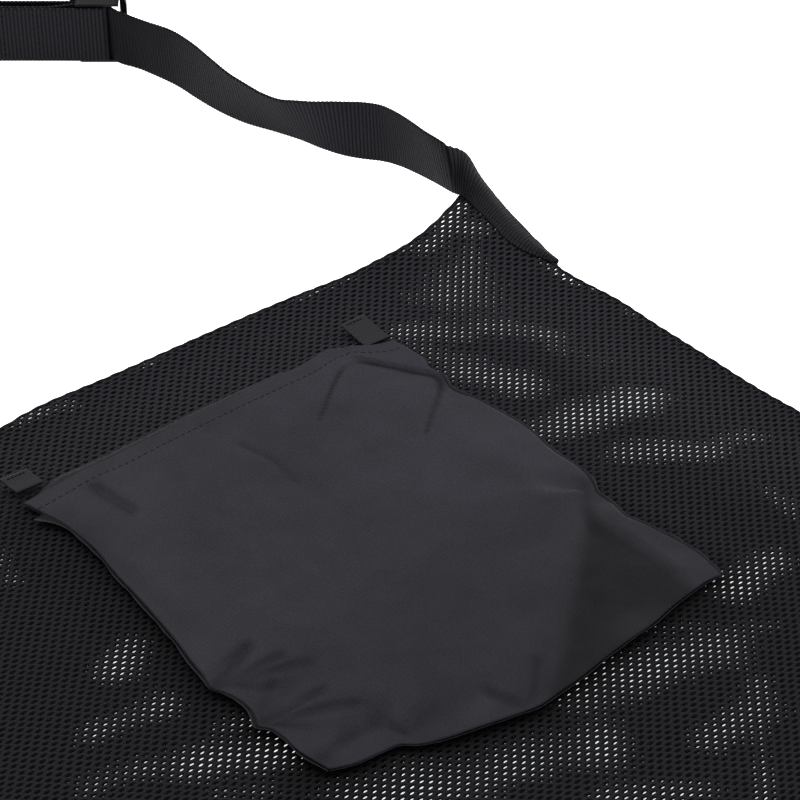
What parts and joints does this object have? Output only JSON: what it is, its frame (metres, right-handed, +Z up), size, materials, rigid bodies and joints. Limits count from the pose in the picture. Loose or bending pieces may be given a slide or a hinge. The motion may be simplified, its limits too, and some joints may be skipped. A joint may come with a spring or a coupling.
{
  "type": "mesh ball bag",
  "caption": "Flat-lying mesh ball bag with a drawcord mouth, an adjustable webbing shoulder strap and a loose satin accessory pouch.",
  "frame": {"origin": "centre of the flat bag's footprint, on the floor, measured without the free strap", "axes": "+X across the bag, +Y from the mouth to the bottom seam, +Z up from the floor; the strap leaves the corner at -X +Y"},
  "size_m": [0.7518, 0.5627, 0.0374],
  "materials": {
    "mesh": "knitted polyester net, matt with a slight sheen on the yarn",
    "webbing": "ribbed woven webbing",
    "nylon": "fine twill with a satin sheen",
    "ribbon": "grosgrain tape",
    "cord": "braided cord",
    "plastic": "moulded, satin",
    "spring_steel": "drawn wire"
  },
  "bodies": {
    "bag": {"back_mesh_panel": "mesh", "front_mesh_panel": "mesh", "side_seam_left": "mesh", "side_seam_right": "mesh", "bottom_seam": "mesh", "mouth_casing_back": "mesh", "mouth_casing_front_left": "mesh", "mouth_casing_front_right": "mesh", "drawcord": "cord", "drawcord_knot": "cord", "strap_lower": "webbing", "strap_tail_hem": "webbing", "strap_upper": "webbing", "strap_mouth_patch": "webbing", "strap_corner_wrap": "webbing", "ribbon_tab_left": "ribbon", "ribbon_tab_right": "ribbon", "tab_bartack_left": "ribbon", "tab_bartack_right": "ribbon"},
    "slider": {"strap_slider": "plastic", "slider_loop": "webbing"},
    "pouch": {"pouch_back_panel": "nylon", "pouch_back_hem": "nylon", "pouch_front_panel": "nylon", "pouch_front_hem": "nylon", "pouch_seam_left": "nylon", "pouch_seam_right": "nylon", "pouch_seam_bottom": "nylon"},
    "cord_lock": {"cord_lock_body": "plastic", "cord_lock_spring": "spring_steel"},
    "plunger": {"cord_lock_plunger": "plastic"}
  },
  "joints": [
    {"name": "strap_adjust", "type": "slide", "parent": "bag", "child": "slider", "axis": [-0.6691, -0.7431, 0], "range_m": [0, 0.06], "deforming": ["strap_upper"]},
    {"name": "pouch_lift", "type": "hinge", "parent": "bag", "child": "pouch", "pos_m": [-0.15459, 0.09391, 0.01175], "axis": [-0.0837, -0.9965, 0], "range_deg": [0, 110]},
    {"name": "cord_lock_slide", "type": "slide", "parent": "bag", "child": "cord_lock", "axis": [0, 1, 0], "range_m": [-0.004, 0.018]},
    {"name": "cord_lock_press", "type": "slide", "parent": "cord_lock", "child": "plunger", "axis": [-1, 0, 0], "range_m": [0, 0.003], "stiffness_N_per_m": 400, "springref_m": -0.002, "deforming": ["cord_lock_spring"]}
  ]
}
